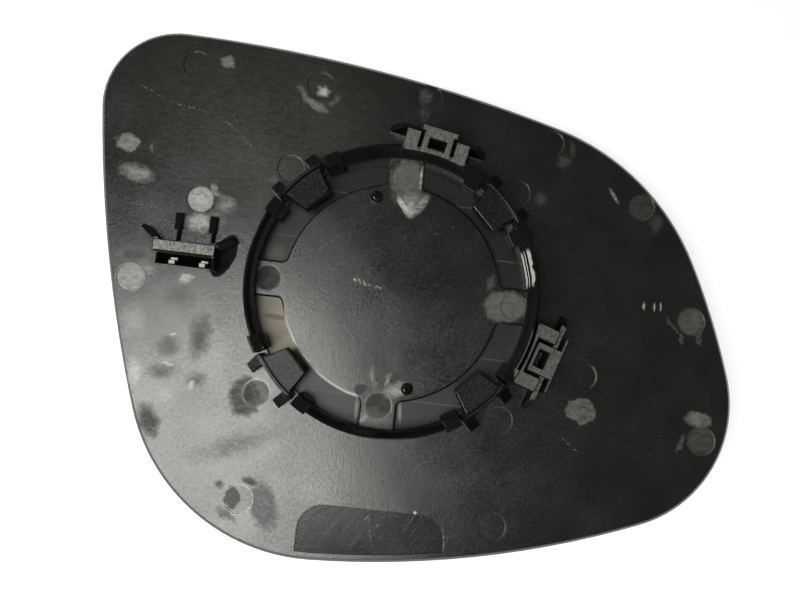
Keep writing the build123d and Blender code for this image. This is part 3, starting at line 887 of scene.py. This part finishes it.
def tinned_blade():
    """Tinned metal with fine drawn lines and dull spots."""
    material, board, shader = new_material("tinned_blade")
    position = in_millimetres(board).position
    lines = board.group(STREAKS, Position=position, **BLADE_STREAKS)["Mask"]
    spots = board.fade(board.noise(position, *SPOT_NOISE), *SPOT_RANGE)
    colour = board.mixed(board.math("MULTIPLY", spots, DULL_TIN_SHARE), paint(TIN), paint(DULL_TIN))
    board.feed(shader.inputs["Base Color"], colour)
    shader.inputs["Metallic"].default_value = 1.0
    rough = board.math("ADD", board.math("MULTIPLY", lines, LINE_ROUGHNESS), BLADE_ROUGHNESS)
    board.feed(shader.inputs["Roughness"], rough)
    grain = board.group(GRAIN, Position=position, Fineness=BLADE_FINENESS)["Height"]
    relief_bump(board, shader, BLADE_RELIEF, grain)
    return material


def dress(node_name, material):
    """Give a CAD node its finish."""
    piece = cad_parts[node_name]
    piece.data.materials.clear()
    piece.data.materials.append(material)


dress("backing_plate", black_moulding())
dress("heater_foil", heater_film())
dress("mirror_glass", mirror_face())
dress("heater_terminals", tinned_blade())


def white_floor():
    """White paper under the lowest point of the glass; it glows only where it is looked at."""
    mesh = bpy.data.meshes.new("paper_floor")
    shape = bmesh.new()
    bmesh.ops.create_grid(shape, x_segments=1, y_segments=1, size=FLOOR_SIZE / 2)
    bmesh.ops.translate(shape, verts=shape.verts, vec=(0, 0, cad_box[0][2]))
    shape.to_mesh(mesh)
    shape.free()
    floor = bpy.data.objects.new("paper_floor", mesh)
    bpy.context.scene.collection.objects.link(floor)
    material = bpy.data.materials.new("white_paper")
    material.use_nodes = True
    material.node_tree.nodes.clear()
    board = Board(material.node_tree)
    rays = board.node("ShaderNodeLightPath", {}).outputs
    seen = board.math("MAXIMUM", rays["Is Camera Ray"], rays["Is Glossy Ray"])
    seen = board.math("MAXIMUM", seen, rays["Is Transmission Ray"])
    glow = board.node("ShaderNodeEmission", {"Strength": board.math("MULTIPLY", seen, FLOOR_GLOW)})
    paper = board.node("ShaderNodeBsdfDiffuse", {"Color": paint(FLOOR_COLOUR)})
    both = board.node("ShaderNodeAddShader", {0: paper.outputs[0], 1: glow.outputs[0]})
    board.node("ShaderNodeOutputMaterial", {"Surface": both.outputs[0]})
    floor.data.materials.append(material)


def soft_box():
    """Long soft lamp facing straight down."""
    data = bpy.data.lights.new("soft_box", "AREA")
    data.shape = "RECTANGLE"
    data.size = LAMP_LENGTH
    data.size_y = LAMP_WIDTH
    data.energy = LAMP_POWER
    data.color = LAMP_COLOUR
    lamp = bpy.data.objects.new("soft_box", data)
    lamp.location = LAMP_PLACE
    lamp.rotation_euler = (0, 0, LAMP_TURN)
    bpy.context.scene.collection.objects.link(lamp)


def studio_sky():
    """Pale walls on the lamp's side, dim ones opposite and a dim ceiling."""
    world = bpy.data.worlds.new("studio")
    world.use_nodes = True
    bpy.context.scene.world = world
    board = Board(world.node_tree)
    direction = board.node("ShaderNodeTexCoord", {}).outputs["Generated"]
    facing = board.dot(direction, SKY_BRIGHT_SIDE)
    edge = board.fade(facing, *SKY_SIDES, SKY_FAR_EDGE, SKY_EDGE)
    rise = board.fade(board.split(direction)[2], *SKY_RISE)
    drop = board.math("MULTIPLY", rise, board.math("SUBTRACT", SKY_TOP, edge))
    background = world.node_tree.nodes["Background"]
    background.inputs["Color"].default_value = paint(SKY_COLOUR)
    board.feed(background.inputs["Strength"], board.math("ADD", edge, drop))


def photo_camera():
    """Camera at the photograph's place and angle."""
    data = bpy.data.cameras.new("camera")
    data.lens = LENS
    data.sensor_width = SENSOR
    data.clip_start = CAMERA_NEAR
    camera = bpy.data.objects.new("camera", data)
    backward = (CAMERA_PLACE - CAMERA_AIM).normalized()
    up = Vector((-math.sin(CAMERA_ROLL), math.cos(CAMERA_ROLL), 0))
    right = up.cross(backward).normalized()
    upward = backward.cross(right)
    turned = Matrix((right, upward, backward)).transposed().to_4x4()
    camera.matrix_world = Matrix.Translation(CAMERA_PLACE) @ turned
    bpy.context.scene.collection.objects.link(camera)
    bpy.context.scene.camera = camera


white_floor()
soft_box()
studio_sky()
photo_camera()
bpy.context.scene.view_settings.view_transform = "Standard"
